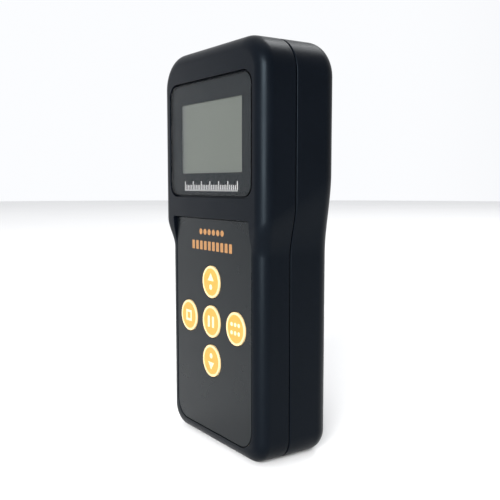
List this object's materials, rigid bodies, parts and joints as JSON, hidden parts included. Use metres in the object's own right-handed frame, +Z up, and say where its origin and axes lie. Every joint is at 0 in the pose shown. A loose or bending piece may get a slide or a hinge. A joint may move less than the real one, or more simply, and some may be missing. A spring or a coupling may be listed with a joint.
{
  "type": "geiger counter",
  "caption": "Handheld geiger counter: two-shell case with a wide display head, sprung round keys in a plus, a sliding battery door, and its detector tube, board and cells inside.",
  "frame": {"origin": "middle of the bottom of the bounding box, on the plane that the instrument stands on", "axes": "+Z up along the instrument's length, from its flat end to its head; +Y from its face to its back, across its depth; X across its width"},
  "size_m": [0.0692, 0.0324, 0.1468],
  "materials": {
    "case": "fine-textured black ABS",
    "door": "fine-textured black ABS",
    "window": "clear hard-coated polycarbonate",
    "mask": "dark grey print",
    "lcd": "grey-green liquid crystal glass, switched off",
    "lcd_holder": "white moulding",
    "diffuser": "milky diffuser",
    "silicone": "striped elastomer",
    "film": "velvet-textured dark grey foil",
    "key": "orange print with a cream ring",
    "switch": "stamped can",
    "board": "green solder mask",
    "screw": "zinc-plated",
    "contact": "nickel-plated",
    "tube": "glass with a conductive inner coat",
    "tube_cap": "turned",
    "sleeve": "tin-plated",
    "ferrite": "ferrite and varnish",
    "capacitor": "dipped film",
    "can": "sleeved can",
    "crystal": "stamped can",
    "chip": "moulded epoxy",
    "buzzer": "moulded",
    "cell": "plain printed sleeve"
  },
  "bodies": {
    "case": {"front_shell": "case", "rear_shell": "case", "window_lens": "window", "window_mask": "mask", "lcd_glass": "lcd", "lcd_frame": "lcd_holder", "lcd_backlight": "diffuser", "lcd_connector": "silicone", "keypad_film": "film", "switch_up": "switch", "switch_left": "switch", "switch_enter": "switch", "switch_right": "switch", "switch_down": "switch", "main_board": "board", "case_screw_1": "screw", "case_screw_2": "screw", "case_screw_3": "screw", "case_screw_4": "screw", "board_screw_1": "screw", "board_screw_2": "screw", "board_screw_3": "screw", "board_screw_4": "screw", "contact_bridge": "contact", "contact_positive": "contact", "contact_negative": "contact", "contact_spring_left": "contact", "contact_spring_right": "contact", "tube_anode_clip": "contact", "tube_cathode_clip": "contact", "geiger_tube": "tube", "tube_anode_cap": "tube_cap", "tube_cathode_cap": "tube_cap", "compensation_sleeve": "sleeve", "hv_transformer": "ferrite", "hv_capacitor_1": "capacitor", "hv_capacitor_2": "capacitor", "smoothing_capacitor": "can", "crystal": "crystal", "microcontroller": "chip", "buzzer": "buzzer", "battery_left": "cell", "battery_right": "cell"},
    "battery_door": {"battery_door": "door"},
    "key_up": {"key_up": "key"},
    "key_left": {"key_left": "key"},
    "key_enter": {"key_enter": "key"},
    "key_right": {"key_right": "key"},
    "key_down": {"key_down": "key"}
  },
  "joints": [
    {"name": "key_up_press", "type": "slide", "parent": "case", "child": "key_up", "axis": [0, 1, 0], "range_m": [0, 0.0004], "stiffness_N_per_m": 800, "springref_m": -0.0005},
    {"name": "key_left_press", "type": "slide", "parent": "case", "child": "key_left", "axis": [0, 1, 0], "range_m": [0, 0.0004], "stiffness_N_per_m": 800, "springref_m": -0.0005},
    {"name": "key_enter_press", "type": "slide", "parent": "case", "child": "key_enter", "axis": [0, 1, 0], "range_m": [0, 0.0004], "stiffness_N_per_m": 800, "springref_m": -0.0005},
    {"name": "key_right_press", "type": "slide", "parent": "case", "child": "key_right", "axis": [0, 1, 0], "range_m": [0, 0.0004], "stiffness_N_per_m": 800, "springref_m": -0.0005},
    {"name": "key_down_press", "type": "slide", "parent": "case", "child": "key_down", "axis": [0, 1, 0], "range_m": [0, 0.0004], "stiffness_N_per_m": 800, "springref_m": -0.0005},
    {"name": "battery_door_slide", "type": "slide", "parent": "case", "child": "battery_door", "axis": [0, 0, -1], "range_m": [0, 0.072]}
  ]
}
